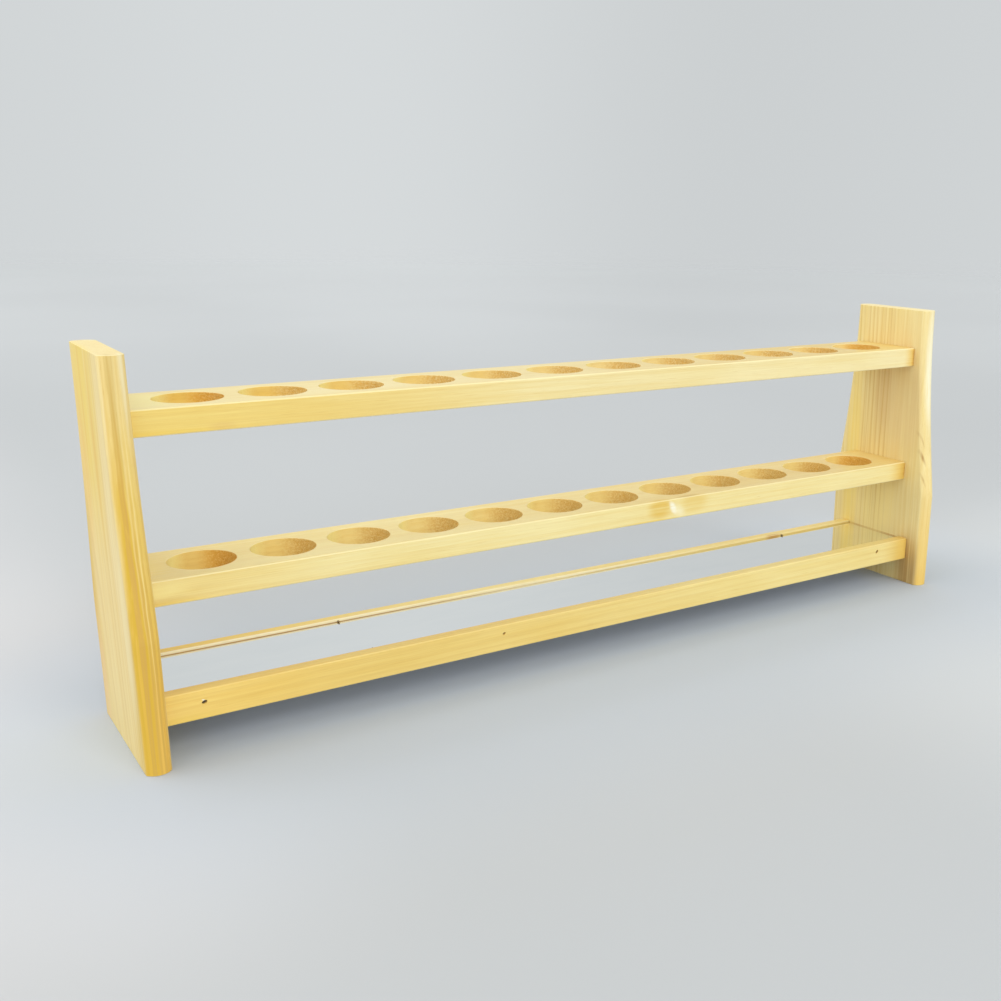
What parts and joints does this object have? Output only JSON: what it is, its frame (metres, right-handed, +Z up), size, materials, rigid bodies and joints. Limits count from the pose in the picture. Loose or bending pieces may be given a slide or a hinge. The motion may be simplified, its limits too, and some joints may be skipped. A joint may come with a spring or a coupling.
{
  "type": "test tube rack",
  "caption": "Long two-tier wooden test tube rack with round holes in both shelves, shaped end boards with rounded edges, and a mirror floor between two low rails.",
  "frame": {"origin": "on the ground under the middle of the rack", "axes": "+Z up, +X along the rack, -Y towards the person using it"},
  "size_m": [0.48, 0.0798, 0.1736],
  "materials": {
    "end_board_wood": "clear satin varnish on pale softwood, grain upright",
    "shelf_wood": "clear satin varnish on pale softwood, grain lengthways",
    "rail_wood": "clear satin varnish on pale softwood, grain lengthways",
    "mirror": "polished silvered glass",
    "nail_steel": "dull darkened wire"
  },
  "bodies": {
    "root": {"left_end_board": "end_board_wood", "right_end_board": "end_board_wood", "top_shelf": "shelf_wood", "middle_shelf": "shelf_wood", "base_board": "shelf_wood", "mirror_plate": "mirror", "front_rail": "rail_wood", "rear_rail": "rail_wood", "front_rail_nail_1": "nail_steel", "front_rail_nail_2": "nail_steel", "front_rail_nail_3": "nail_steel", "rear_rail_nail_1": "nail_steel", "rear_rail_nail_2": "nail_steel", "rear_rail_nail_3": "nail_steel", "front_mirror_sprig_1": "nail_steel", "front_mirror_sprig_2": "nail_steel", "rear_mirror_sprig_1": "nail_steel", "rear_mirror_sprig_2": "nail_steel"}
  },
  "joints": []
}
